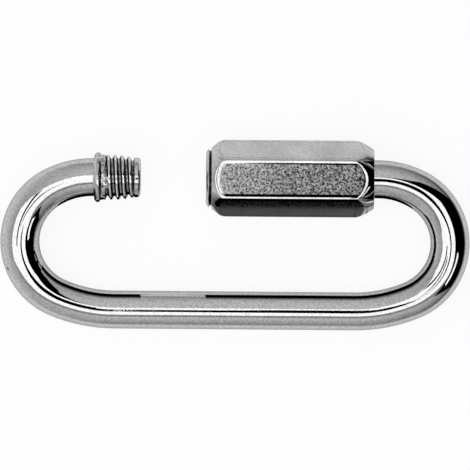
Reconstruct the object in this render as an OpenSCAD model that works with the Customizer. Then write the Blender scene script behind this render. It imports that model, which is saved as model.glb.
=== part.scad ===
// Chain quick link: a round rod bent into a long open oval, with a hexagonal sleeve nut that closes its gate.
// The nut is run back, so the gate is open. The link lies on one flat of the nut and on the back of its rod.
// Sizes are in millimetres. X runs along the nut, Y across the link and Z up.

/* [Rod] */
// Overall length of the link, along the nut
overall_l = 84; // [78:0.5:100]
// Diameter of the round rod where it is straight
rod_d = 6.8; // [6:0.1:7.2]
// Distance from the nut's axis to the middle of the rod's back
axis_spacing = 23.9; // [22:0.1:30]

/* [Bows] */
// Radius of the easy bend beside the gate, on the rod's middle line
shoulder_r = 15; // [13:0.5:30]
// Angle of the easy bend beside the gate
shoulder_turn = 29; // [5:1:35]
// Radius of the easy bend that leads into the back
back_r = 26; // [14:0.5:32]
// Angle of the easy bend that leads into the back
back_turn = 23; // [5:1:30]
// How much thicker the rod comes out of each tighter bend
bend_swell = 0.1; // [0.04:0.02:0.2]

/* [Thread and stud] */
// Outside diameter of the thread
thread_d = 8; // [7.6:0.1:8.4]
// Length of the stud from its collar to its tip
stud_l = 7.3; // [5:0.1:12]
// Length of the plain pilot at the tip of the stud
pilot_l = 1.1; // [0.6:0.1:2]
// Depth of the pilot below the thread's outside
pilot_depth = 0.45; // [0.1:0.05:0.6]
// Chamfer on the tip of the stud and on the rod's other end
tip_chamfer = 0.4; // [0.2:0.05:0.55]
// Depth of the undercut between the collar and the thread
neck_depth = 0.35; // [0.2:0.05:0.6]
// Width of the undercut between the collar and the thread
neck_w = 0.3; // [0.3:0.1:1.2]

/* [Collar] */
// Height of the collar that the nut closes against, above the thread
collar_height = 0.45; // [0.4:0.05:1.2]
// Width of the collar's cylindrical rim
collar_rim_w = 0.55; // [0.3:0.05:1.5]
// Length of the sloping side of the collar, towards the bow
collar_slope_l = 0.45; // [0.2:0.05:1.2]
// Straight length of rod between the bow and the collar
collar_setback = 0.25; // [0.2:0.05:2]

/* [Nut] */
// Width of the nut across its flats
nut_af = 12; // [11.5:0.1:14]
// What is turned off each corner of the nut's hexagon
nut_corner_break = 0.08; // [0.03:0.01:0.3]
// Length of the nut over all
nut_l = 30; // [24:0.1:32]
// Diameter at which each corner chamfer runs out
nut_end_d = 10.9; // [10.4:0.1:11.4]
// Angle of the corner chamfer at the plain end, from the nut's axis
nut_chamfer_angle = 30; // [20:1:45]
// Angle of the corner chamfer behind the boss, from the nut's axis
boss_chamfer_angle = 40; // [20:1:45]
// Length of the domed boss that closes against the collar
boss_l = 0.55; // [0.3:0.05:1.2]
// Diameter of the boss at its foot
boss_d = 10.6; // [9.8:0.1:11]
// Width of the turned groove behind the boss
groove_w = 0.45; // [0.2:0.05:1]
// Diameter at the bottom of the groove
groove_d = 9.9; // [9:0.1:10.4]
// Countersink at each end of the nut's bore, measured on the radius
nut_countersink = 0.25; // [0.1:0.05:0.3]

/* [Fits] */
// Play between the thread and the nut's bore, measured on the radius
thread_play = 0.08; // [0.03:0.01:0.1]
// Gap between the nut and the start of the bow, with the nut run back
run_back_gap = 0.76; // [0.3:0.02:2]
// Depth of the rod's end inside the nut, with the nut run back
tail_recess = 1; // [0.3:0.1:4]
// Length of thread on the rod's end inside the nut
tail_thread_l = 22; // [14:0.5:24]

/* [Hidden] */
$fn = 96;

// The rod's thickness in its easy bends and in its bows, and what is turned on its ends.
rod_r = rod_d / 2;
easy_d = rod_d + bend_swell;
bow_d = easy_d + bend_swell;
thread_r = thread_d / 2;
neck_r = thread_r - neck_depth;
pilot_r = thread_r - pilot_depth;
collar_r = thread_r + collar_height;
zinc = [0.76, 0.77, 0.78];
zinc_turned = [0.66, 0.67, 0.68];

// Each bow turns half round in three tangent arcs. The middle one takes what is left of the spacing.
// A thinner length of rod runs a little way into the next thicker one.
run_in = 0.1;
bow_turn = 180 - shoulder_turn - back_turn;
bow_r = (axis_spacing - shoulder_r * (1 - cos(shoulder_turn)) - back_r * (1 - cos(back_turn)))
    / (cos(shoulder_turn) + cos(back_turn));
bow_reach = shoulder_r * sin(shoulder_turn) + bow_r * (1 - sin(shoulder_turn));
bow_x = overall_l / 2 - bow_d / 2 - bow_reach;
back_x = bow_x + (shoulder_r - bow_r) * sin(shoulder_turn) - (back_r - bow_r) * sin(back_turn);

// Places along the rod from the start of the bow: the collar, the stud and the tail in the nut.
collar_rim_start = collar_setback + collar_slope_l;
collar_end = collar_rim_start + collar_rim_w;
stud_end = collar_end + stud_l;
tail_l = run_back_gap + nut_l - tail_recess;
tail_runout = tail_l - tail_thread_l;

// The nut's place with the gate open.
nut_right_x = bow_x - run_back_gap;
nut_left_x = nut_right_x - nut_l;
nut_corner_d = nut_af / cos(30) - 2 * nut_corner_break;
bore_r = thread_r + thread_play;
mouth_r = bore_r + nut_countersink;
// The boss is a ball zone from its foot to the mouth of the bore, with its centre on the nut's axis.
boss_centre = (boss_l ^ 2 + (boss_d / 2) ^ 2 - mouth_r ^ 2) / (2 * boss_l);
boss_ball_r = sqrt(boss_centre ^ 2 + mouth_r ^ 2);
// How far the tools that shape the nut's ends reach past its surface.
cut_over = 1;
cut_r = nut_corner_d / 2 + cut_over;

// The link lies tilted about the nut's axis, because the nut is thicker than the rod.
lie_angle = asin((nut_af - easy_d) / 2 / axis_spacing);
nut_z = nut_af / 2;
nut_y = (axis_spacing * cos(lie_angle) + easy_d / 2 - nut_corner_d / 2) / 2;

// Moves what is drawn along the X axis to the nut's axis.
module on_nut_axis() {
    translate([0, nut_y, nut_z]) children();
}

// Moves what is drawn flat, with the nut's axis on the X axis, into the tilted plane of the rod.
module in_rod_plane() {
    on_nut_axis() rotate([lie_angle, 0, 0]) children();
}

// A revolved piece along +X from a profile of [radius, distance] points.
module turned(profile) {
    rotate([0, 90, 0]) rotate_extrude() polygon(profile);
}

// A length of rod that starts at the origin along +X and bends towards -Y.
// It may run on past either end of the bend.
module bent_rod(d, radius, turn, before = 0, after = 0) {
    early = before / radius * 180 / PI;
    late = after / radius * 180 / PI;
    translate([0, -radius, 0])
        rotate([0, 0, 90 - turn - late])
            rotate_extrude(angle = early + turn + late) translate([radius, 0]) circle(d = d);
}

// Moves what follows a bend to the bend's end.
module after_bend(radius, turn) {
    translate([radius * sin(turn), -radius * (1 - cos(turn)), 0]) rotate([0, 0, -turn]) children();
}

// The right-hand bow, from the nut's axis round to the back of the link.
module bow() {
    translate([bow_x, 0, 0]) {
        bent_rod(easy_d, shoulder_r, shoulder_turn, after = run_in);
        after_bend(shoulder_r, shoulder_turn) {
            bent_rod(bow_d, bow_r, bow_turn);
            after_bend(bow_r, bow_turn) bent_rod(easy_d, back_r, back_turn, before = run_in);
        }
    }
}

module back() {
    translate([0, -axis_spacing, 0])
        rotate([0, 90, 0]) cylinder(d = rod_d, h = 2 * (back_x + run_in), center = true);
}

// The free end: collar, undercut and stud, in one turned profile.
module stud() {
    translate([-bow_x, 0, 0]) turned([
        [0, -run_in],
        [rod_r, -run_in],
        [rod_r, collar_setback],
        [collar_r, collar_rim_start],
        [collar_r, collar_end],
        [neck_r, collar_end],
        [neck_r, collar_end + neck_w],
        [thread_r, collar_end + neck_w + neck_depth],
        [thread_r, stud_end - pilot_l - pilot_depth],
        [pilot_r, stud_end - pilot_l],
        [pilot_r, stud_end - tip_chamfer],
        [pilot_r - tip_chamfer, stud_end],
        [0, stud_end]
    ]);
}

// The other end, which carries the nut.
module tail() {
    mirror([1, 0, 0]) translate([-bow_x, 0, 0]) turned([
        [0, -run_in],
        [rod_r, -run_in],
        [rod_r, tail_runout - (thread_r - rod_r)],
        [thread_r, tail_runout],
        [thread_r, tail_l - tip_chamfer],
        [thread_r - tip_chamfer, tail_l],
        [0, tail_l]
    ]);
}

module link_rod() {
    color(zinc) in_rod_plane() {
        stud();
        mirror([1, 0, 0]) bow();
        back();
        bow();
        tail();
    }
}

// What a corner chamfer turns off the hexagon, from the chamfer's smaller end at the origin.
module chamfer_cut(angle) {
    turned([
        [nut_end_d / 2, 0],
        [nut_end_d / 2, -cut_over],
        [cut_r, -cut_over],
        [cut_r, (cut_r - nut_end_d / 2) / tan(angle)]
    ]);
}

// What is turned off at the boss's end: the corner chamfer behind the boss, the groove and the outside of the boss.
module boss_cut() {
    translate([boss_l + groove_w, 0, 0]) chamfer_cut(boss_chamfer_angle);
    turned([
        [groove_d / 2, boss_l],
        [cut_r, boss_l],
        [cut_r, boss_l + groove_w],
        [groove_d / 2, boss_l + groove_w]
    ]);
    rotate([0, 90, 0]) rotate_extrude() difference() {
        polygon([[0, -cut_over], [cut_r, -cut_over], [cut_r, boss_l], [0, boss_l]]);
        translate([0, boss_centre]) circle(r = boss_ball_r);
    }
}

// The nut's bore, opened out at both ends.
module bore() {
    turned([
        [0, -cut_over],
        [mouth_r + cut_over, -cut_over],
        [bore_r, nut_countersink],
        [bore_r, nut_l - nut_countersink],
        [mouth_r + cut_over, nut_l + cut_over],
        [0, nut_l + cut_over]
    ]);
}

module sleeve_nut() {
    color(zinc_turned) on_nut_axis() translate([nut_left_x, 0, 0]) difference() {
        intersection() {
            rotate([0, 90, 0]) rotate([0, 0, 30]) cylinder(d = nut_af / cos(30), h = nut_l, $fn = 6);
            rotate([0, 90, 0]) cylinder(d = nut_corner_d, h = nut_l);
        }
        boss_cut();
        translate([nut_l, 0, 0]) mirror([1, 0, 0]) chamfer_cut(nut_chamfer_angle);
        bore();
    }
}

link_rod();
sleeve_nut();
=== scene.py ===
import math

import bpy
import numpy as np
from mathutils import Matrix, Vector


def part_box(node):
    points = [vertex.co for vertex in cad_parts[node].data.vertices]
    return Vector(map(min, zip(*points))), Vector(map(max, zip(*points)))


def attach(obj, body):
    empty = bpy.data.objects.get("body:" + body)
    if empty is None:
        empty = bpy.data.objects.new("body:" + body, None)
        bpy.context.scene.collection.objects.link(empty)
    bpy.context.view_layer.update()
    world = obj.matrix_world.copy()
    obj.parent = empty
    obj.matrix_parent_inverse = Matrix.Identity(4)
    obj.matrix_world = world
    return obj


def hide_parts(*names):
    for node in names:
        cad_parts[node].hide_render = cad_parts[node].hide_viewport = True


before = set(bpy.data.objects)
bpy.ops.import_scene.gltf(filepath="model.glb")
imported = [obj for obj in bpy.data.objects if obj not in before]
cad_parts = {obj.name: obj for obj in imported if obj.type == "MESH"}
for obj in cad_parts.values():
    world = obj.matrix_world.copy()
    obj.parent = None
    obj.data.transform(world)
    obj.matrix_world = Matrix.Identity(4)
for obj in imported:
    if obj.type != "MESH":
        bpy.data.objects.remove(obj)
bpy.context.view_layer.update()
mm = 0.001
nutLow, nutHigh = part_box("sleeve_nut")
rodLow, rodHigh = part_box("link_rod")
nutMiddle = (nutLow + nutHigh) / 2  # the nut's axis runs along x through this point
print("frame loaded:", sorted(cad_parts))


# Mesh helpers

# Adds an object with a mesh of points in metres and of faces to the scene.
def addPiece(name, points, faces):
    mesh = bpy.data.meshes.new(name)
    mesh.from_pydata(points, [], faces)
    piece = bpy.data.objects.new(name, mesh)
    bpy.context.scene.collection.objects.link(piece)
    return piece


# A piece from a grid of points in mm, rows by columns, that closes on itself across its columns. Its rows
# either close too, as on a ring, or end in a pole at the middle of the first and of the last row.
def pieceFromGrid(name, grid, ring):
    rows, columns = grid.shape[:2]
    index = np.arange(rows * columns).reshape(rows, columns)
    side = np.roll(index, -1, axis=1)
    if ring:
        ahead, aheadSide = np.roll(index, -1, axis=0), np.roll(side, -1, axis=0)
    else:
        index, side, ahead, aheadSide = index[:-1], side[:-1], index[1:], side[1:]
    faces = np.stack([index, side, aheadSide, ahead], axis=-1).reshape(-1, 4).tolist()
    points = grid.reshape(-1, 3)
    if not ring:
        first, last = np.arange(columns), np.arange(columns) + (rows - 1) * columns
        poles = np.array([grid[0].mean(axis=0), grid[-1].mean(axis=0)])
        points = np.vstack([points, poles])
        start = np.full(columns, rows * columns)
        faces += np.stack([start, np.roll(first, -1), first], axis=-1).tolist()
        faces += np.stack([start + 1, last, np.roll(last, -1)], axis=-1).tolist()
    piece = addPiece(name, (points * mm).tolist(), faces)
    piece.data.shade_smooth()
    return piece


# Stores a share from 0 to 1 at each point of a grid piece, with nothing at its poles.
def addShare(piece, name, share, poles):
    attribute = piece.data.attributes.new(name, "FLOAT", "POINT")
    attribute.data.foreach_set("value", np.append(share.ravel(), np.zeros(poles)).astype(np.float32))


# Points a step apart along an outline, with its corners eased by a mean over some points to each side.
def easedOutline(outline, step, ease):
    outline = np.array(outline, float)
    run = np.concatenate([[0.0], np.cumsum(np.hypot(*np.diff(outline, axis=0).T))])
    along = np.linspace(0.0, run[-1], int(run[-1] / step) + 1)
    line = [np.interp(along, run, outline[:, k]) for k in (0, 1)]
    kernel = np.ones(2 * ease + 1) / (2 * ease + 1)
    return [np.convolve(np.pad(k, ease, mode="edge"), kernel, "valid") for k in line]


# Eases from 0 at low to 1 at high.
def easeStep(low, high, value):
    share = np.clip((value - low) / (high - low), 0.0, 1.0)
    return share * share * (3.0 - 2.0 * share)


# The lesser of two lengths, blended where they are nearly equal.
def easedLess(first, second, ease):
    return 0.5 * (first + second - np.sqrt((first - second) ** 2 + ease * ease))


# Thread on the nut's axis

thread = {
    "pitch": 1.25,        # mm, right-hand
    "flankAngle": 30.0,   # degrees between each flank and a plane square to the axis
    "crestRadius": 4.0,   # of the rod's thread
    "depth": 0.64,
    "crestFlat": 0.3,     # width of the crest along the axis
    "edgeEase": 0.05,     # rounding beside the crest and the root
    "crestAt": -22.77,    # x of a crest on the +Y side
    "nutCrest": 3.62,     # inner radius of the nut's thread
    "nutRoot": 4.08,
}
flankSlope = 1.0 / math.tan(math.radians(thread["flankAngle"]))


# Distance along the axis to the nearest crest of one helix, which every thread on the axis shares: crests
# lie at crestAt plus a pitch for each turn about +X from the +Y side.
def crestDistance(x, turn):
    turns = (x - thread["crestAt"]) / thread["pitch"] - turn / (2 * math.pi)
    return np.abs(turns - np.round(turns)) * thread["pitch"]


# Depth below the crest, from the distance to the nearest crest: none on the crest, then down the slope of
# the flank as far as the thread's depth.
def grooveDepth(distance):
    depth = (distance - thread["crestFlat"] / 2) * flankSlope
    depth = -easedLess(-depth, 0.0, thread["edgeEase"])
    return easedLess(depth, thread["depth"], thread["edgeEase"])


# Link rod

rod = {
    "radius": 3.4,              # mm, where the rod is straight
    "axisSpacing": 23.9,        # from the nut's axis to the middle of the back
    "shoulder": (15.0, 29.0),   # radius, and turn in degrees, of the easy bend beside the gate
    "backEase": (26.0, 23.0),   # and of the easy bend into the back
    "bendSwell": 0.05,          # added to the radius by each tighter bend
    "swellTurn": (40.0, 53.0),  # degrees of a bow over which the swell sets in, and goes at its end
    "collarSetback": 0.2,       # from the bow to the collar
    "collarSlope": 0.5,
    "collarRadius": 4.45,
    "collarRim": 0.55,
    "collarFoot": (0.08, 0.6),  # first steep step of the collar's rounded side: length and height
    "collarRound": (0.15, 0.2),  # rounding of the collar's face: length and height
    "neckRadius": 3.68,         # of the undercut
    "neckWidth": 0.2,
    "ringRise": 0.1,            # length of the step up to the plain ring between the undercut and the thread
    "ringRadius": 3.84,
    "ringWidth": 0.7,
    "crestRise": 0.2,           # length of the step from the ring up to the thread
    "threadStart": 0.25,        # length over which the thread sets in
    "threadEnd": (0.35, 0.15),  # it fades over these lengths before and behind the pilot's start
    "taperLength": 3.6,         # the stud tapers towards the pilot from this far before its tip
    "pilotLength": 1.1,
    "pilotRadius": 3.55,
    "studLength": 7.3,          # from the collar's face to the tip
    "tipRound": 0.35,
    "tailRecess": 1.0,          # the tail's end lies this far inside the nut
    "tailThread": 22.0,
    "tailFlat": 1.6,            # radius of the tail's end that is free of thread
    "lumps": 0.06,              # height of the uneven plating about the collar, ring and first turn
    "lumpSpread": (2, 1),       # rows and columns to each side that a lump is averaged with
    "lumpSeed": 5,
    "bruiseX": (-23.1, 0.9),    # flattened patch of the first turn: x and reach
    "bruiseTurn": (97.0, 24.0),  # and its turn and reach in degrees
    "bruiseShare": 0.8,
    "bruiseCore": 0.4,          # square of the share of its reach where it is flattened most
    "fillTurn": (25.0, 60.0),   # degrees from the +Y side to which plating fills the undercut, and where it ends
    "fillBelow": 0.8,           # share of that beside the -Y side
    "fillOutline": (            # of the filling: x from the collar's face, and radius
        (-0.1, 4.4), (0.05, 4.28), (0.3, 4.02), (1.1, 4.0),
    ),
    "flankDepth": (0.03, 0.11),  # depths of the thread over which painted shade sets in
    "rootDepth": (0.52, 0.6),   # and over which it grows less again towards the roots
    "rootUnshaded": 0.75,          # by this share
    "neckShade": (-0.06, 0.02),  # x from the collar's face over which the painted shade in the undercut sets in
    "hollowSoil": (0.55, 0.9),  # depths of the hollows between lumps over which they fill with painted shade
    "wearAndSheenDepth": (0.06, 0.02),  # depth of the thread where the bright crests end, and where they are full
    "sides": 120,
    "studStep": (0.055, 2),     # spacing of the points along the stud's outline, and points of its easing
    "studPole": 0.3,            # radius of the last ring about the middle of its tip
    "tailStep": (0.1, 1),       # the same for the tail
    "tailPole": 0.4,
    "bendStep": 3.0,            # degrees
    "backSteps": 16,
}


# What follows from these sizes: radius and turn of the tight bend in each bow, x of the start of the
# right-hand bow and x of the end of the straight back. The tight bend takes what the easy ones leave of the
# spacing.
def bowSizes():
    shoulderRadius, shoulderTurn = rod["shoulder"]
    backRadius, backTurn = rod["backEase"]
    shoulderCos, backCos = math.cos(math.radians(shoulderTurn)), math.cos(math.radians(backTurn))
    shoulderSin, backSin = math.sin(math.radians(shoulderTurn)), math.sin(math.radians(backTurn))
    bowRadius = rod["axisSpacing"] - shoulderRadius * (1 - shoulderCos) - backRadius * (1 - backCos)
    bowRadius /= shoulderCos + backCos
    rodEnd = (rodHigh.x - rodLow.x) / 2 / mm - rod["radius"] - 2 * rod["bendSwell"]
    bowX = rodEnd - shoulderRadius * shoulderSin - bowRadius * (1 - shoulderSin)
    backX = bowX + (shoulderRadius - bowRadius) * shoulderSin - (backRadius - bowRadius) * backSin
    return bowRadius, 180.0 - shoulderTurn - backTurn, bowX, backX


# One length of the rod's middle line, bent to the right by turn degrees on a radius, or straight where turn
# is 0 and radius is its length. Returns its points and the heading at each.
def middleLine(start, heading, radius, turn, steps):
    share = np.linspace(0.0, 1.0, steps + 1)
    if turn == 0:
        ahead = np.array([math.cos(heading), math.sin(heading)])
        return start + share[:, None] * radius * ahead, np.full(steps + 1, heading)
    headings = heading - np.radians(turn) * share
    centre = start - radius * np.array([-math.sin(heading), math.cos(heading)])
    return centre + radius * np.column_stack([-np.sin(headings), np.cos(headings)]), headings


# The middle line of the right-hand bow, the back and the left-hand bow, with its headings.
def bowsAndBack(bowRadius, bowTurn, bowX, backX):
    bow = [rod["shoulder"], (bowRadius, bowTurn), rod["backEase"]]
    place, heading = np.array([bowX, 0.0]), 0.0
    lines, headings = [], []
    for radius, turn in [*bow, (2 * backX, 0.0), *bow[::-1]]:
        steps = math.ceil(turn / rod["bendStep"]) if turn else rod["backSteps"]
        line, turned = middleLine(place, heading, radius, turn, steps)
        place, heading = line[-1], turned[-1]
        lines.append(line[:-1])
        headings.append(turned[:-1])
    return np.vstack(lines), np.concatenate(headings)


# The tail from its end inside the nut to the right-hand bow: x, radius and share of the thread.
def tailOutline(bowX):
    crest, tip, rodRadius = thread["crestRadius"], rod["tipRound"], rod["radius"]
    tailEnd = nutLow.x / mm + rod["tailRecess"]
    runOut = tailEnd + rod["tailThread"]
    x, radius = easedOutline([
        (tailEnd, rod["tailPole"]), (tailEnd, crest - tip), (tailEnd + tip, crest), (runOut, crest),
        (runOut + crest - rodRadius, rodRadius), (bowX, rodRadius),
    ], *rod["tailStep"])
    threaded = easeStep(runOut, runOut - thread["pitch"], x)
    threaded *= easeStep(rod["tailFlat"], crest - tip, radius)  # none on the flat end
    return x, radius, threaded


# Places along the stud's axis, as x.
def studPlaces(bowX):
    at = {"bow": -bowX, "collar": -bowX + rod["collarSetback"]}
    at["rim"] = at["collar"] + rod["collarSlope"]
    at["face"] = at["rim"] + rod["collarRim"]
    at["neckEnd"] = at["face"] + rod["neckWidth"]
    at["ringEnd"] = at["neckEnd"] + rod["ringWidth"]
    at["tip"] = at["face"] + rod["studLength"]
    at["pilot"] = at["tip"] - rod["pilotLength"]
    return at


# The stud from the left-hand bow to its tip: x, radius and share of the thread.
def studOutline(at):
    crest, tip, rodRadius = thread["crestRadius"], rod["tipRound"], rod["radius"]
    collarRadius, pilotRadius = rod["collarRadius"], rod["pilotRadius"]
    footLength, footHeight = rod["collarFoot"]
    roundLength, roundHeight = rod["collarRound"]
    x, radius = easedOutline([
        (at["bow"], rodRadius), (at["collar"], rodRadius),
        (at["collar"] + footLength, rodRadius + footHeight), (at["rim"], collarRadius),
        (at["face"] - roundLength, collarRadius), (at["face"], collarRadius - roundHeight),
        (at["face"], rod["neckRadius"]), (at["neckEnd"], rod["neckRadius"]),
        (at["neckEnd"] + rod["ringRise"], rod["ringRadius"]), (at["ringEnd"], rod["ringRadius"]),
        (at["ringEnd"] + rod["crestRise"], crest), (at["tip"] - rod["taperLength"], crest),
        (at["pilot"], pilotRadius), (at["tip"] - tip, pilotRadius),
        (at["tip"], pilotRadius - tip), (at["tip"], rod["studPole"]),
    ], *rod["studStep"])
    fadeBefore, fadeBehind = rod["threadEnd"]
    threaded = easeStep(at["ringEnd"], at["ringEnd"] + rod["threadStart"], x)
    threaded *= easeStep(at["pilot"] + fadeBehind, at["pilot"] - fadeBefore, x)
    return x, radius, threaded


# Lumps of plating on the stud, about -1 to 1: even random heights, each averaged with its neighbours.
def platingLumps(x, at):
    draws = np.random.default_rng(rod["lumpSeed"])
    lumps = draws.uniform(-1.0, 1.0, (len(x), rod["sides"]))
    for axis, spread in enumerate(rod["lumpSpread"]):
        shifts = range(-spread, spread + 1)
        lumps = sum(np.roll(lumps, k, axis=axis) for k in shifts) / math.sqrt(len(shifts))
    lumpy = easeStep(at["rim"], at["face"], x)
    lumpy *= easeStep(at["ringEnd"] + thread["pitch"], at["ringEnd"], x)
    return lumps * lumpy[:, None]


# The rod is a circle carried along its middle line from the tail in the nut, round the right-hand bow, the
# back and the left-hand bow to the tip of the stud. Its radius follows the turned outline at both ends, less
# the thread's groove, and swells a little in the bends.
def makeLinkRod():
    bowRadius, bowTurn, bowX, backX = bowSizes()
    at = studPlaces(bowX)
    tailX, tailRadius, tailThread = (k[:-1] for k in tailOutline(bowX))
    studX, studRadius, studThread = studOutline(at)
    line, headings = bowsAndBack(bowRadius, bowTurn, bowX, backX)
    # the swell sets in from the start of each bow and goes towards its end
    turned = -np.degrees(headings)
    setsIn, goes = rod["swellTurn"]
    swell = sum(
        easeStep(start, start + setsIn, turned) - easeStep(start + 180 - goes, start + 180, turned)
        for start in (0, 180)
    ) * 2 * rod["bendSwell"]

    # all three lengths in one, with the rows of the stud last
    middle = np.vstack([
        np.column_stack([tailX, np.zeros(len(tailX))]), line, np.column_stack([studX, np.zeros(len(studX))]),
    ])
    headings = np.concatenate([np.zeros(len(tailX)), headings, np.full(len(studX), -2 * math.pi)])
    radius = np.concatenate([tailRadius, rod["radius"] + swell, studRadius])
    threaded = np.concatenate([tailThread, np.zeros(len(line)), studThread])
    threaded = np.repeat(threaded[:, None], rod["sides"], axis=1)
    stud = slice(-len(studX), None)

    # the first turn is bruised over a round patch, where its grooves are shallow
    turn = np.linspace(0.0, 2 * math.pi, rod["sides"], endpoint=False)[None, :]
    bruiseX, bruiseLength = rod["bruiseX"]
    bruiseTurn, bruiseWidth = rod["bruiseTurn"]
    alongBruise = (studX[:, None] - bruiseX) / bruiseLength
    roundBruise = (np.degrees(turn) - bruiseTurn) / bruiseWidth
    bruise = easeStep(1.0, rod["bruiseCore"], alongBruise ** 2 + roundBruise ** 2)
    threaded[stud] *= 1.0 - rod["bruiseShare"] * bruise
    groove = grooveDepth(crestDistance(middle[:, :1], turn))
    radii = radius[:, None] - threaded * groove

    # plating lies in lumps, and fills the undercut beside the +Y side and most of it beside the -Y side
    lumps = platingLumps(studX, at)
    radii[stud] += rod["lumps"] * lumps
    fromSide = np.degrees(np.minimum(turn, 2 * math.pi - turn))
    fillFull, fillEnd = rod["fillTurn"]
    filled = easeStep(fillEnd, fillFull, fromSide)
    filled = filled + rod["fillBelow"] * easeStep(fillEnd, fillFull, 180 - fromSide)
    fillX, fillRadius = np.array(rod["fillOutline"]).T
    filling = np.interp(studX - at["face"], fillX, fillRadius, left=0.0, right=0.0)
    missing = np.clip(filling[:, None] + rod["lumps"] * lumps - radii[stud], 0.0, None)
    radii[stud] += filled * missing

    # the rod's plane is tilted about the nut's axis, so that the back lies on the floor
    outward = np.column_stack([-np.sin(headings), np.cos(headings)])
    flat = middle[:, None, :] + (radii * np.cos(turn))[:, :, None] * outward[:, None, :]
    lift = radii * np.sin(turn)
    backLow = rod["radius"] + rod["bendSwell"]
    lie = math.asin((nutMiddle.z / mm - backLow) / rod["axisSpacing"])
    across = flat[:, :, 1] * math.cos(lie) - lift * math.sin(lie) + nutMiddle.y / mm
    height = flat[:, :, 1] * math.sin(lie) + lift * math.cos(lie) + nutMiddle.z / mm
    piece = pieceFromGrid("linkRod", np.stack([flat[:, :, 0], across, height], axis=-1), ring=False)

    # painted shade on the thread's flanks, less at its roots, in the undercut and in hollows between lumps
    atRoot = rod["rootUnshaded"] * easeStep(*rod["rootDepth"], groove)
    paintedShade = threaded * easeStep(*rod["flankDepth"], groove) * (1.0 - atRoot)
    undercut = easeStep(*rod["neckShade"], studX - at["face"])
    undercut *= easeStep(at["neckEnd"] + rod["ringRise"], at["neckEnd"], studX)
    undercut = undercut[:, None] * easeStep(fillFull, fillEnd, fromSide)
    hollows = easeStep(*rod["hollowSoil"], -lumps)
    paintedShade[stud] = np.maximum(paintedShade[stud], np.maximum(undercut, hollows))
    addShare(piece, "paintedShade", paintedShade, poles=2)
    # crests brighter: partly wear, partly a painted highlight
    addShare(piece, "wearAndSheen", threaded * easeStep(*rod["wearAndSheenDepth"], groove), poles=2)
    return piece


linkRod = makeLinkRod()
print("link rod:", len(linkRod.data.polygons), "faces")


# Sleeve nut

nut = {
    "endRadius": 5.45,        # mm, where the corner chamfers run out
    "bossChamfer": 40.0,      # degrees from the axis, behind the boss
    "plainChamfer": 30.0,     # and at the plain end
    "bossLength": 0.55,
    "bossRadius": 5.3,
    "grooveWidth": 0.45,
    "grooveRadius": 4.95,
    "mouthRadius": 4.33,
    "countersink": 0.25,
    "threadFade": (0.2, 1.1),  # distances from each end over which the bore's thread sets in
    "crestCut": 0.11,         # what is cut off the point of its ridge
    "rollWidth": 0.8,         # margin of each flat that falls away to its edges
    "cornerRoll": 8.0,        # degrees that the margin has tilted by at the corners
    "bossRoll": 10.0,         # and at the boss's chamfer
    "plainRoll": 15.0,        # and at the plain end's
    "edgeEase": 0.16,         # rounding of the edges themselves
    "coneEase": 0.01,         # between the cones of both ends, where neither cuts
    "grainReach": 0.06,       # how far the grain of the flat runs into its margin
    "grainEdge": 0.1,         # width over which it sets in
    "lineWidth": 0.12,        # painted dark line of shade along the grain's edge, and its strength
    "lineShare": 0.3,
    "grooveShade": (0.03, 0.1),  # the groove's painted shade sets in below the boss and is full above the bottom
    "boreShade": 0.8,          # share of painted shade in the bore
    "flatColumns": 36,        # across each flat
    "cornerCrowd": 0.75,      # share of their spacing that draws them towards the corners
    "bossRun": (2.6, 44),     # length with close rows behind the groove, and their number
    "plainRun": (3.2, 52),    # and before the plain end
    "middleRows": 20,
    "bossRows": 12,
    "grooveStep": (0.05, 1),  # spacing of the points along the groove's outline, and points of its easing
    "faceStep": (0.09, 1),    # and of the plain end's face
    "faceInset": 0.05,        # from its rim to its first point
    "boreStep": 0.11,
    "mouthRows": 4,
}


# Fall of a flat's margin below the flat, from the distance to its edge: a parabola that starts level.
def marginFall(distance, angle):
    inside = np.clip(nut["rollWidth"] - distance, 0.0, None)
    return 0.5 * math.tan(math.radians(angle)) * inside * inside / nut["rollWidth"]


# Angles of the columns from the middle of their own flat, closer together near its corners, and about the
# nut's axis.
def nutColumns(apothem, halfFlat):
    share, crowd = np.linspace(-1.0, 1.0, nut["flatColumns"], endpoint=False), nut["cornerCrowd"]
    across = np.sign(share) * (1 - (1 - np.abs(share)) ** 2.0) * crowd + share * (1 - crowd)
    flatTurn = np.arctan(across * halfFlat / apothem)
    turn = (flatTurn[None, :] + np.radians(60) * np.arange(6)[:, None] + np.radians(90)).ravel()
    return np.tile(flatTurn, 6), turn


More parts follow.
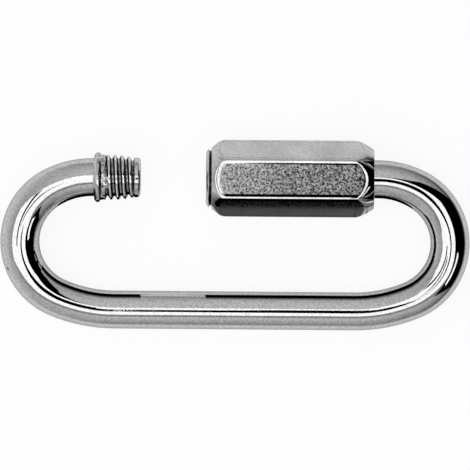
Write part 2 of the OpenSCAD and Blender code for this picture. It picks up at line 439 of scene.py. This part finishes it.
# The nut is one closed ring: an outline carried round its axis, out along the flats and chamfers and back
# through the bore. Outside, its radius at each place is the least of the six flats, with their margins
# rolled off, and of the end's cone. Inside, the bore's thread stands on the helix of the rod's thread.
def makeSleeveNut():
    length = (nutHigh.x - nutLow.x) / mm
    apothem = (nutHigh.z - nutLow.z) / mm / 2
    halfFlat = apothem * math.tan(math.radians(30))
    flatTurn, turn = nutColumns(apothem, halfFlat)

    # stations along the outside, closer together over the chamfers
    chamferStart = nut["bossLength"] + nut["grooveWidth"]
    (bossReach, bossRows), (plainReach, plainRows) = nut["bossRun"], nut["plainRun"]
    bossRun = np.linspace(chamferStart, chamferStart + bossReach, bossRows)
    plainRun = np.linspace(length - plainReach, length, plainRows)
    middleRun = np.linspace(bossRun[-1], plainRun[0], nut["middleRows"])
    x = np.concatenate([bossRun[:-1], middleRun[:-1], plainRun])
    bossSlope = math.tan(math.radians(nut["bossChamfer"]))
    plainSlope = math.tan(math.radians(nut["plainChamfer"]))
    bossCone = nut["endRadius"] + (x - chamferStart) * bossSlope
    plainCone = nut["endRadius"] + (length - x) * plainSlope
    cone = easedLess(bossCone, plainCone, nut["coneEase"])[:, None]

    # the flats, with margins along the corners and along the chamfers' edges
    offset = apothem * np.tan(flatTurn)[None, :]
    sharp = apothem / np.cos(flatTurn)[None, :]
    toCorner = halfFlat - np.abs(offset)
    toBoss = (bossCone[:, None] - sharp) / bossSlope
    toPlain = (plainCone[:, None] - sharp) / plainSlope
    fall = marginFall(toCorner, nut["cornerRoll"])
    fall = fall + marginFall(toBoss, nut["bossRoll"]) + marginFall(toPlain, nut["plainRoll"])
    flatRadius = (apothem - fall) / np.cos(flatTurn)[None, :]
    outside = easedLess(flatRadius, cone, nut["edgeEase"])

    # the boss and the groove before them, and the plain end's face after them
    bossShare = np.linspace(0.0, 1.0, nut["bossRows"])[:-1]
    bossX = nut["bossLength"] * bossShare
    bossRadius = nut["mouthRadius"] + (nut["bossRadius"] - nut["mouthRadius"]) * np.sqrt(bossShare)
    grooveX, grooveRadius = (k[1:-1] for k in easedOutline([
        (nut["bossLength"], nut["bossRadius"]), (nut["bossLength"], nut["grooveRadius"]),
        (chamferStart, nut["grooveRadius"]), (chamferStart, nut["endRadius"]),
    ], *nut["grooveStep"]))
    faceX, faceRadius = (k[1:-1] for k in easedOutline([
        (length, nut["endRadius"] - nut["faceInset"]), (length, nut["mouthRadius"]),
        (length - nut["countersink"], thread["nutRoot"]),
    ], *nut["faceStep"]))

    # back through the bore, with its thread setting in behind each countersink, to the mouth
    boreX = np.arange(length - nut["countersink"], nut["countersink"], -nut["boreStep"])
    boreX = np.append(boreX, nut["countersink"])
    ridge = thread["nutRoot"] - thread["nutCrest"]
    ridgeDistance = thread["pitch"] / 2 - crestDistance(nutLow.x / mm + boreX[:, None], turn[None, :])
    ridgeHeight = np.clip(ridge + nut["crestCut"] - ridgeDistance * flankSlope, 0.0, ridge)
    fadeStart, fadeEnd = nut["threadFade"]
    fade = easeStep(fadeStart, fadeEnd, boreX) * easeStep(length - fadeStart, length - fadeEnd, boreX)
    bore = thread["nutRoot"] - fade[:, None] * ridgeHeight
    mouthX = np.linspace(nut["countersink"], 0.0, nut["mouthRows"])[1:-1]

    even = np.ones(len(turn))[None, :]
    headRadius = np.concatenate([bossRadius, grooveRadius])
    mouthRadius = nut["mouthRadius"] - mouthX
    radii = np.vstack([
        headRadius[:, None] * even, outside, faceRadius[:, None] * even, bore, mouthRadius[:, None] * even,
    ])
    along = np.concatenate([bossX, grooveX, x, faceX, boreX, mouthX])
    piece = pieceFromGrid("sleeveNut", np.stack([
        np.broadcast_to(along[:, None], radii.shape) + nutLow.x / mm,
        radii * np.cos(turn)[None, :] + nutMiddle.y / mm,
        radii * np.sin(turn)[None, :] + nutMiddle.z / mm,
    ], axis=-1), ring=True)

    # how much of each point belongs to a flat, for the finish
    flats = slice(len(headRadius), len(headRadius) + len(x))
    flatShare = np.zeros(radii.shape)
    margin = np.minimum(toCorner, np.minimum(toBoss, toPlain))
    grainStart = nut["rollWidth"] - nut["grainReach"]
    flatShare[flats] = easeStep(grainStart, grainStart + nut["grainEdge"], margin)
    addShare(piece, "flatShare", flatShare, poles=0)

    # painted shade along the grain's edge, in the groove behind the boss and in the bore
    paintedShade = np.zeros(radii.shape)
    paintedShade[flats] = nut["lineShare"] * easeStep(nut["lineWidth"], 0.0, np.abs(margin - grainStart))
    belowBoss, aboveBottom = nut["grooveShade"]
    shadeFrom, shadeTo = nut["bossRadius"] - belowBoss, nut["grooveRadius"] + aboveBottom
    paintedShade[len(bossX):flats.start] = easeStep(shadeFrom, shadeTo, grooveRadius)[:, None]
    paintedShade[flats.stop + len(faceX):][:len(boreX)] = nut["boreShade"]
    addShare(piece, "paintedShade", paintedShade, poles=0)
    return piece


sleeveNut = makeSleeveNut()
print("sleeve nut:", len(sleeveNut.data.polygons), "faces")


# Node helpers

# A new node. Its settings are made first. Then its inputs, by name or number, take an output of another node
# or a plain value.
def addNode(tree, kind, inputs=None, **settings):
    node = tree.nodes.new("ShaderNode" + kind)
    for name, value in settings.items():
        setattr(node, name, value)
    for name, value in (inputs or {}).items():
        if isinstance(value, bpy.types.NodeSocket):
            tree.links.new(value, node.inputs[name])
        else:
            node.inputs[name].default_value = value
    return node


# The result of one operation on two values.
def worked(tree, operation, first, second=0.0):
    return addNode(tree, "Math", {0: first, 1: second}, operation=operation).outputs["Value"]


# Maps a value from one range to another.
def ranged(tree, source, before, after):
    names = ("From Min", "From Max", "To Min", "To Max")
    inputs = dict(zip(names, (*before, *after)))
    return addNode(tree, "MapRange", {"Value": source, **inputs}).outputs["Result"]


# A value between two others.
def between(tree, share, first, second):
    inputs = {"Factor": share, "A": first, "B": second}
    return addNode(tree, "Mix", inputs, data_type="FLOAT").outputs["Result"]


# A colour that gives way to a grey by a share.
def greyed(tree, colour, grey, share):
    inputs = {"Factor": share, "A": colour, "B": (grey, grey, grey, 1)}
    return addNode(tree, "Mix", inputs, data_type="RGBA").outputs["Result"]


def newMaterial(name):
    material = bpy.data.materials.new(name)
    material.use_nodes = True
    return material, material.node_tree


# Finishes

plating = {
    "noises": (("Fine", "Speckle", 1.5), ("Coarse", "Cloud", 2.0)),  # scale's name, noise's name and detail
    "span": (0.3, 0.7),    # nearly all values of a noise lie between these
    "shadeByGrain": (1.7, 0.8),    # painted shade counts for more on dark grains and for less on light ones
}


# Grain of the plating: a fine speckle and coarser clouds, each a noise over the piece's own coordinates.
def zincGrain():
    group = bpy.data.node_groups.new("zincGrain", "ShaderNodeTree")
    for column, direction in ((0, "INPUT"), (1, "OUTPUT")):
        for names in plating["noises"]:
            group.interface.new_socket(names[column], in_out=direction, socket_type="NodeSocketFloat")
    given, result = group.nodes.new("NodeGroupInput"), group.nodes.new("NodeGroupOutput")
    coords = addNode(group, "TexCoord").outputs["Object"]
    for scale, name, detail in plating["noises"]:
        inputs = {"Vector": coords, "Scale": given.outputs[scale], "Detail": detail}
        noise = addNode(group, "TexNoise", inputs)
        group.links.new(noise.outputs["Fac"], result.inputs[name])
    return group


grainGroup = zincGrain()


# The speckle and the clouds, at two scales.
def grained(tree, scales):
    fine, coarse = scales
    grain = addNode(tree, "Group", {"Fine": fine, "Coarse": coarse}, node_tree=grainGroup)
    return grain.outputs["Speckle"], grain.outputs["Cloud"]


# Greys from dark to light by a noise.
def greys(tree, noise, dark, light):
    ramp = addNode(tree, "ValToRGB", {"Fac": noise})
    for stop, position, grey in zip(ramp.color_ramp.elements, plating["span"], (dark, light)):
        stop.position = position
        stop.color = (grey, grey, grey, 1)
    return ramp.outputs["Color"]


# A share that is stored in the mesh.
def storedShare(tree, name):
    return addNode(tree, "Attribute", attribute_name=name).outputs["Fac"]


# Darkens a colour by the painted shade stored in the mesh, unevenly by the grain.
def paintShade(tree, colour, grey, speckle):
    inputs = {0: storedShare(tree, "paintedShade"), 1: ranged(tree, speckle, plating["span"], plating["shadeByGrain"])}
    share = addNode(tree, "Math", inputs, operation="MULTIPLY", use_clamp=True)
    return greyed(tree, colour, grey, share.outputs["Value"])


# Makes a metal of a colour and a roughness, with a bump of some metres.
def setMetal(tree, colour, rough, height, bumpHeight):
    shader = tree.nodes["Principled BSDF"]
    shader.inputs["Metallic"].default_value = 1.0
    bump = addNode(tree, "Bump", {"Distance": bumpHeight, "Height": height})
    tree.links.new(colour, shader.inputs["Base Color"])
    tree.links.new(rough, shader.inputs["Roughness"])
    tree.links.new(bump.outputs["Normal"], shader.inputs["Normal"])


rodFinish = {
    "dark": 0.62,              # greys of its dark and light grains
    "light": 0.9,
    "paintedShade": 0.008,          # of painted shade, and of the crests, bright from wear and a painted highlight
    "wearAndSheen": 0.98,
    "rough": (0.025, 0.06),    # from its smooth to its dull clouds
    "grain": (2600.0, 420.0),  # scales of its speckle and clouds
    "bumpHeight": 1.4e-6,
    "dentShades": (                 # painted shade of dents on the left-hand bow: place, heading in degrees, half sizes, darkness
        ((-40.55, -6.3, 6.0), -72.0, (0.42, 0.15, 3.0), 0.85),
        ((-41.37, -2.1, 6.0), -86.0, (0.25, 0.13, 3.0), 0.5),
    ),
    "dentShadeEdge": (0.6, 1.1),    # shares of the half size over which a dent's painted shade fades
}


# Shares of the dents' painted shade: each is an ellipse about its place, dark inside and clear outside.
def dentShadeShares(tree):
    coords = addNode(tree, "TexCoord").outputs["Object"]
    total = 0.0
    for place, heading, halfSizes, darkness in rodFinish["dentShades"]:
        inside = addNode(tree, "Mapping", {
            "Vector": coords, "Location": [k * mm for k in place],
            "Rotation": (0.0, 0.0, math.radians(heading)), "Scale": [k * mm for k in halfSizes],
        }, vector_type="TEXTURE")
        length = addNode(tree, "VectorMath", {0: inside.outputs["Vector"]}, operation="LENGTH")
        share = ranged(tree, length.outputs["Value"], rodFinish["dentShadeEdge"], (darkness, 0.0))
        total = worked(tree, "ADD", share, total)
    return total


def rodZinc():
    material, tree = newMaterial("rodZinc")
    speckle, cloud = grained(tree, rodFinish["grain"])
    colour = greys(tree, speckle, rodFinish["dark"], rodFinish["light"])
    # painted shade on the thread's flanks, in the undercut and in hollows between lumps
    colour = paintShade(tree, colour, rodFinish["paintedShade"], speckle)
    # crests brighter: partly wear, partly a painted highlight
    colour = greyed(tree, colour, rodFinish["wearAndSheen"], storedShare(tree, "wearAndSheen"))
    # painted shade of the dents
    colour = greyed(tree, colour, rodFinish["paintedShade"], dentShadeShares(tree))
    rough = ranged(tree, cloud, plating["span"], rodFinish["rough"])
    setMetal(tree, colour, rough, speckle, rodFinish["bumpHeight"])
    return material


nutFinish = {
    "dark": 0.7,               # greys of its dark and light grains, and of painted shade
    "light": 0.95,
    "paintedShade": 0.015,
    "cloud": 0.8,              # how much of its brightness the plating keeps in its darker clouds
    "smooth": 0.05,            # roughness of the margins and chamfers
    "rough": (0.1, 0.26),      # and of the flats, from bright to matt grains
    "grain": (2400.0, 170.0),  # scales of its speckle and clouds
    "bumpHeight": 7.0e-6,      # on the flats
}


def nutZinc():
    material, tree = newMaterial("nutZinc")
    speckle, cloud = grained(tree, nutFinish["grain"])
    flat = storedShare(tree, "flatShare")
    colour = greys(tree, speckle, nutFinish["dark"], nutFinish["light"])
    inputs = {"Factor": 1.0, "A": colour, "B": greys(tree, cloud, nutFinish["cloud"], 1.0)}
    clouds = addNode(tree, "Mix", inputs, data_type="RGBA", blend_type="MULTIPLY")
    # painted shade along the grain's edge, in the groove behind the boss and in the bore
    colour = paintShade(tree, clouds.outputs["Result"], nutFinish["paintedShade"], speckle)
    grains = ranged(tree, speckle, plating["span"], nutFinish["rough"])
    rough = between(tree, flat, nutFinish["smooth"], grains)
    setMetal(tree, colour, rough, worked(tree, "MULTIPLY", speckle, flat), nutFinish["bumpHeight"])
    return material


linkRod.data.materials.append(rodZinc())
sleeveNut.data.materials.append(nutZinc())
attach(linkRod, "rod")
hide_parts("link_rod")
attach(sleeveNut, "nut")
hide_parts("sleeve_nut")
print("finishes set")


# Stage: floor, room, lights and low strips of painted shade

# A level that changes by heading: the first of three towards -x, the second between and the third towards
# +x. Turns are the sines of the headings to each side where the change starts and ends.
def byHeading(tree, side, turns, levels):
    (start, end), (left, middle, right) = turns, levels
    leftPart = ranged(tree, side, (-end, -start), (left, middle))
    rightPart = ranged(tree, side, (start, end), (0.0, right - middle))
    return worked(tree, "ADD", leftPart, rightPart)


floorLook = {
    "size": 6.0,             # metres
    "grey": 0.8,
    "rough": 0.9,
    "cameraShare": 0.75,     # share of the floor's look that is plain white to the camera
    "cameraWhite": 1.18,
    "near": 0.66,            # what metal sees of the open floor beside the object
    "far": (0.58, 0.3, 0.02),  # and further off: towards -x, to the front and back, and towards +x
    "turns": (0.3, 0.8),     # sines of the headings over which that changes
    "oval": (0.025, 0.0171),  # metres, half the straight part and half the width of an oval about the link
    "fade": (0.012, 0.06),   # distances from the oval over which near gives way to far
    "shadeReach": 0.01,      # metres over which metal sees a painted shadow on the floor near the object
    "shadePower": 1.3,
    "shadeSamples": 8,
}


# What metal sees of the open floor is a painted glow, pale near the link and darker further off. It changes with
# the distance from an oval about the link: the length of the point's offset from the oval's straight middle,
# less half the oval's width.
def openFloor(tree):
    straight, across = floorLook["oval"]
    coords = addNode(tree, "TexCoord").outputs["Object"]
    split = addNode(tree, "SeparateXYZ", {"Vector": coords}).outputs
    past = worked(tree, "SUBTRACT", worked(tree, "ABSOLUTE", split["X"]), straight)
    offset = addNode(tree, "CombineXYZ", {"X": worked(tree, "MAXIMUM", past), "Y": split["Y"]})
    length = addNode(tree, "VectorMath", {0: offset.outputs["Vector"]}, operation="LENGTH")
    fade = ranged(tree, length.outputs["Value"], [across + k for k in floorLook["fade"]], (0.0, 1.0))
    heading = addNode(tree, "VectorMath", {0: coords}, operation="NORMALIZE")
    side = addNode(tree, "SeparateXYZ", {"Vector": heading.outputs["Vector"]}).outputs["X"]
    far = byHeading(tree, side, floorLook["turns"], floorLook["far"])
    return between(tree, fade, floorLook["near"], far)


# The floor is plain pale paper. The camera sees it nearly white with the object's shadow, and metal sees a
# painted glow instead: pale where it is open, with a painted shadow where the object stands close over it.
def makeFloor():
    half = floorLook["size"] / 2
    corners = [(-half, -half, 0), (half, -half, 0), (half, half, 0), (-half, half, 0)]
    floor = addPiece("floor", corners, [(0, 1, 2, 3)])
    material, tree = newMaterial("floorPaper")
    shader, grey = tree.nodes["Principled BSDF"], floorLook["grey"]
    shader.inputs["Base Color"].default_value = (grey, grey, grey, 1)
    shader.inputs["Roughness"].default_value = floorLook["rough"]
    shader.inputs["Specular IOR Level"].default_value = 0.0
    # painted shadow on the floor where the object stands close over it, seen by metal alone
    reach, samples = floorLook["shadeReach"], floorLook["shadeSamples"]
    shade = addNode(tree, "AmbientOcclusion", {"Distance": reach}, samples=samples)
    shade = worked(tree, "POWER", shade.outputs["AO"], floorLook["shadePower"])
    toMetal = addNode(tree, "Emission", {"Strength": worked(tree, "MULTIPLY", shade, openFloor(tree))})
    toCamera = addNode(tree, "Emission", {"Strength": floorLook["cameraWhite"]})
    path = addNode(tree, "LightPath").outputs
    white = worked(tree, "MULTIPLY", path["Is Camera Ray"], floorLook["cameraShare"])
    seen = addNode(tree, "MixShader", {
        "Fac": white, 1: shader.outputs["BSDF"], 2: toCamera.outputs["Emission"],
    })
    look = addNode(tree, "MixShader", {
        "Fac": path["Is Glossy Ray"], 1: seen.outputs["Shader"], 2: toMetal.outputs["Emission"],
    })
    tree.links.new(look.outputs["Shader"], tree.nodes["Material Output"].inputs["Surface"])
    floor.data.materials.append(material)


room = {
    "horizon": (0.65, 0.28, 0.12),  # greys of its walls: towards -x, to the front and back, and towards +x
    "high": (0.3, 0.58, 0.3),       # and higher up
    "highAt": 0.7,                  # sine of the height where these are reached
}


# The room's walls are dark grey near the horizon and lighter above, and the other way round towards -x.
def makeRoom():
    world = bpy.data.worlds.new("studio")
    world.use_nodes = True
    tree = world.node_tree
    coords = addNode(tree, "TexCoord")
    split = addNode(tree, "SeparateXYZ", {"Vector": coords.outputs["Generated"]}).outputs
    horizon, high = (byHeading(tree, split["X"], (0.0, 1.0), room[k]) for k in ("horizon", "high"))
    share = ranged(tree, split["Z"], (0.0, room["highAt"]), (0.0, 1.0))
    background = tree.nodes["Background"].inputs
    background["Color"].default_value = (1, 1, 1, 1)
    tree.links.new(between(tree, share, horizon, high), background["Strength"])
    bpy.context.scene.world = world


# A flat card of corner points that glows by its strength, seen by the metal and not by the camera. A strip
# only shows its front, to metal alone, and leaves the light on the floor as it is. Where fade gives an axis,
# two places on it in mm and a level, the glow goes from that level at the first place to its strength at the
# second.
def card(name, corners, strength, strip=False, fade=None):
    piece = addPiece(name, corners, [list(range(len(corners)))])
    material, tree = newMaterial(name)
    tree.nodes.remove(tree.nodes["Principled BSDF"])
    level = strength
    if fade:
        axis, start, end, startLevel = fade
        coords = addNode(tree, "TexCoord")
        split = addNode(tree, "SeparateXYZ", {"Vector": coords.outputs["Object"]})
        level = ranged(tree, split.outputs[axis], (start * mm, end * mm), (startLevel, strength))
    glow = addNode(tree, "Emission", {"Color": (1, 1, 1, 1), "Strength": level})
    surface = glow.outputs["Emission"]
    if strip:
        backfacing = addNode(tree, "NewGeometry").outputs["Backfacing"]
        clear = addNode(tree, "BsdfTransparent")
        front = addNode(tree, "MixShader", {"Fac": backfacing, 1: surface, 2: clear.outputs["BSDF"]})
        surface = front.outputs["Shader"]
        piece.visible_diffuse = False
        piece.visible_shadow = False
    tree.links.new(surface, tree.nodes["Material Output"].inputs["Surface"])
    piece.data.materials.append(material)
    piece.visible_camera = False


lights = {
    "height": 1.0,              # metres
    "strength": 1.3,
    "reach": (-45.0, 32.0, -29.0, 13.0),  # of the soft light, in degrees off the zenith: -x, +x, -y, +y
    "gap": 0.01,                # from the light down to the cards that hang before it
    "lens": (                   # outline of the dark camera before the light
        (-0.037, 0.03), (0.0, 0.03), (0.01, 0.1), (0.2, 0.1), (0.26, -0.02), (0.24, -0.12),
        (0.16, -0.3), (0.05, -0.3), (0.05, -0.2), (-0.037, -0.2),
    ),
    "bars": (                   # dark bars before the light: start, end and half the width
        ((-0.12, -0.09), (-0.145, -0.22), 0.045),
        ((-0.4, 0.2), (-0.315, -0.27), 0.06),
    ),
    "frameGrey": 0.3,           # dark edge of the light along -y
    "frameWidth": 0.35,
    "cornerStart": 0.05,        # x where the black edge along +y starts, and a point of its far side
    "cornerPeak": (0.38, 0.6),
    "flagReach": 1.0,           # x of the black flag's foot
    "flagFoot": (-0.8, 0.58),   # y of its ends, at the foot and at the top
    "flagTop": (-1.0, 0.9),
    "panel": ((0.75, -0.27), (0.58, -0.56)),  # ends of the white strip before the flag
    "panelZ": (0.5, 0.7),
}


# One soft light overhead, with the dark camera and two bars before it, and dark edges along -y and part of
# +y. On the right stands a black flag with a white strip before it.
def makeLights():
    high = lights["height"]
    near = high - lights["gap"]
    left, right, low, top = (high * math.tan(math.radians(k)) for k in lights["reach"])

    def overhead(name, outline, z, strength=0.0):
        card(name, [(x, y, z) for x, y in outline], strength)

    overhead("softLight", [(left, low), (left, top), (right, top), (right, low)], high, lights["strength"])
    overhead("lens", lights["lens"], near)
    for number, ((startX, startY), (endX, endY), wide) in enumerate(lights["bars"], 1):
        startEdge = [(startX - wide, startY), (startX + wide, startY)]
        endEdge = [(endX + wide, endY), (endX - wide, endY)]
        overhead(f"bar{number}", startEdge + endEdge, near)
    edge = low - lights["frameWidth"]
    overhead("frameLow", [(left, edge), (right, edge), (right, low), (left, low)], high, lights["frameGrey"])
    foot, (footLow, footTop), (flagLow, flagTop) = lights["flagReach"], lights["flagFoot"], lights["flagTop"]
    corner = [(lights["cornerStart"], top), (right, top), (right, flagTop), lights["cornerPeak"]]
    overhead("frameCorner", corner, high)
    flag = [(foot, footLow, 0), (foot, footTop, 0), (right, flagTop, high), (right, flagLow, high)]
    card("blackFlag", flag, 0.0)
    (start, end), (panelLow, panelHigh) = lights["panel"], lights["panelZ"]
    panel = [(*start, panelLow), (*end, panelLow), (*end, panelHigh), (*start, panelHigh)]
    card("whiteStrip", panel, lights["strength"])


strips = {
    "backY": -1.0,              # mm, strip that the nut's lower side mirrors
    "backX": (-9.0, 23.4),
    "backZ": (0.0, 5.4, 13.0),  # its grey foot and its black part
    "footGrey": 0.09,
    "backFadeX": -22.0,         # it fades to grey towards here
    "fadeGrey": 0.55,
    "gateY": 2.5,               # strips that the inner side of the back mirrors
    "gateX": (-17.0, -5.3),     # the open gate between them
    "gateReach": 31.0,          # to both sides
    "gateZ": (0.0, 6.4, 13.0),  # black part and the part that fades to grey
    "armY": 5.0,                # strips that the undersides of the arms mirror
    "armX": (-16.6, 24.8),      # the stud's tip and the nut's end, beyond which they stand
    "armReach": 32.5,
    "armTop": 6.8,
    "bow": ((21.0, 7.0), (22.0, -9.0)),    # strip that the inner side of the right-hand bow mirrors: ends
    "bowZ": (0.7, 6.3),
    "end": ((25.4, -1.6), (24.2, 3.0)),    # strip that the nut's plain end mirrors: ends
    "endTop": 8.0,
}


# Low dark strips stand inside the link and face its sides, whose lower halves mirror them: painted shade,
# standing in for the shaded floor under and beside the link. Each shows its front to the left of the way from
# its start to its end.
def makeShadeStrips():
    def strip(name, start, end, low, high, strength=0.0, fade=None):
        corners = [(*end, low), (*start, low), (*start, high), (*end, high)]
        card(name, [[k * mm for k in corner] for corner in corners], strength, strip=True, fade=fade)

    fadeX, fadeGrey = strips["backFadeX"], strips["fadeGrey"]
    (leftX, rightX), y = strips["backX"], strips["backY"]
    foot, middle, top = strips["backZ"]
    for name, fadeName, low, high, grey in (
        ("backFoot", "backFootFade", foot, middle, strips["footGrey"]),
        ("backStrip", "backFade", middle, top, 0.0),
    ):
        strip(name, (leftX, y), (rightX, y), low, high, grey)
        strip(fadeName, (fadeX, y), (leftX, y), low, high, fadeGrey, ("X", leftX, fadeX, grey))
    (gateLeft, gateRight), reach, y = strips["gateX"], strips["gateReach"], strips["gateY"]
    foot, middle, top = strips["gateZ"]
    for side, startX, endX in (("Left", gateLeft, -reach), ("Right", reach, gateRight)):
        strip("gateStrip" + side, (startX, y), (endX, y), foot, middle)
        strip("gateFade" + side, (startX, y), (endX, y), middle, top, fadeGrey, ("Z", middle, top, 0.0))
    (armLeft, armRight), reach, y = strips["armX"], strips["armReach"], strips["armY"]
    strip("armStripLeft", (-reach, y), (armLeft, y), 0.0, strips["armTop"])
    strip("armStripRight", (armRight, y), (reach, y), 0.0, strips["armTop"])
    strip("bowStrip", *strips["bow"], *strips["bowZ"])
    strip("endStrip", *strips["end"], 0.0, strips["endTop"])


makeFloor()
makeRoom()
makeLights()
makeShadeStrips()
print("stage set")


# Camera

camera = {
    "frameWidth": 84.094,   # mm across the image, at the middle of the link
    "distance": 1.2,        # metres
    "clip": (0.05, 50.0),   # metres
    "sensor": 36.0,
    "tip": 2.0,             # degrees off straight down, towards the nut's side
    "roll": 0.45,           # degrees
    "target": (0.0, 0.0, 5.0),
}
cameraData = bpy.data.cameras.new("camera")
cameraData.sensor_width = camera["sensor"]
cameraData.lens = camera["sensor"] * camera["distance"] / (camera["frameWidth"] * mm)
cameraData.clip_start, cameraData.clip_end = camera["clip"]
cameraObject = bpy.data.objects.new("camera", cameraData)
bpy.context.scene.collection.objects.link(cameraObject)
tip, roll = math.radians(camera["tip"]), math.radians(camera["roll"])
back = Vector((0.0, math.sin(tip), math.cos(tip)))
right = Vector((math.cos(roll), math.sin(roll), 0.0))
right = (right - back * right.dot(back)).normalized()
up = back.cross(right)
place = Vector(camera["target"]) * mm + back * camera["distance"]
cameraObject.matrix_world = Matrix((
    (right.x, up.x, back.x, place.x), (right.y, up.y, back.y, place.y),
    (right.z, up.z, back.z, place.z), (0, 0, 0, 1),
))
bpy.context.scene.camera = cameraObject
bpy.context.scene.view_settings.view_transform = "Standard"
print("camera set")
